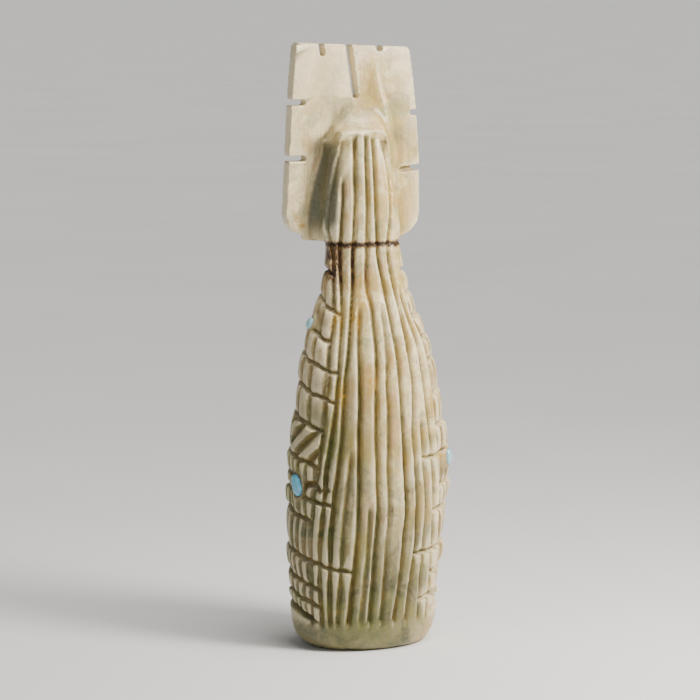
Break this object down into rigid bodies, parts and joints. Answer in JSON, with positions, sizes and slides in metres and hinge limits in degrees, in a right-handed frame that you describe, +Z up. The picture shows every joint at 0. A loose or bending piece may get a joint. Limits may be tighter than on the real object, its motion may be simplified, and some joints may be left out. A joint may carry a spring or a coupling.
{
  "type": "fetish carving",
  "caption": "Standing corn maiden figure carved in one piece of stone, with a notched tablet headdress, long strand hair down the back, tiers of kernels and small round turquoise inlays.",
  "frame": {"origin": "middle of the flat underside", "axes": "+Z up the standing figure, the face looks along -Y and the hair along +Y, +X is the side that holds two of the inlays"},
  "size_m": [0.0331, 0.0215, 0.115],
  "materials": {
    "stone": "polished cream and tan banded stone with ochre and brown in the grooves",
    "turquoise": "polished blue-green turquoise"
  },
  "bodies": {
    "root": {"stone_figure": "stone", "turquoise_inlay_left_upper": "turquoise", "turquoise_inlay_left_lower": "turquoise", "turquoise_inlay_right": "turquoise"}
  },
  "joints": []
}
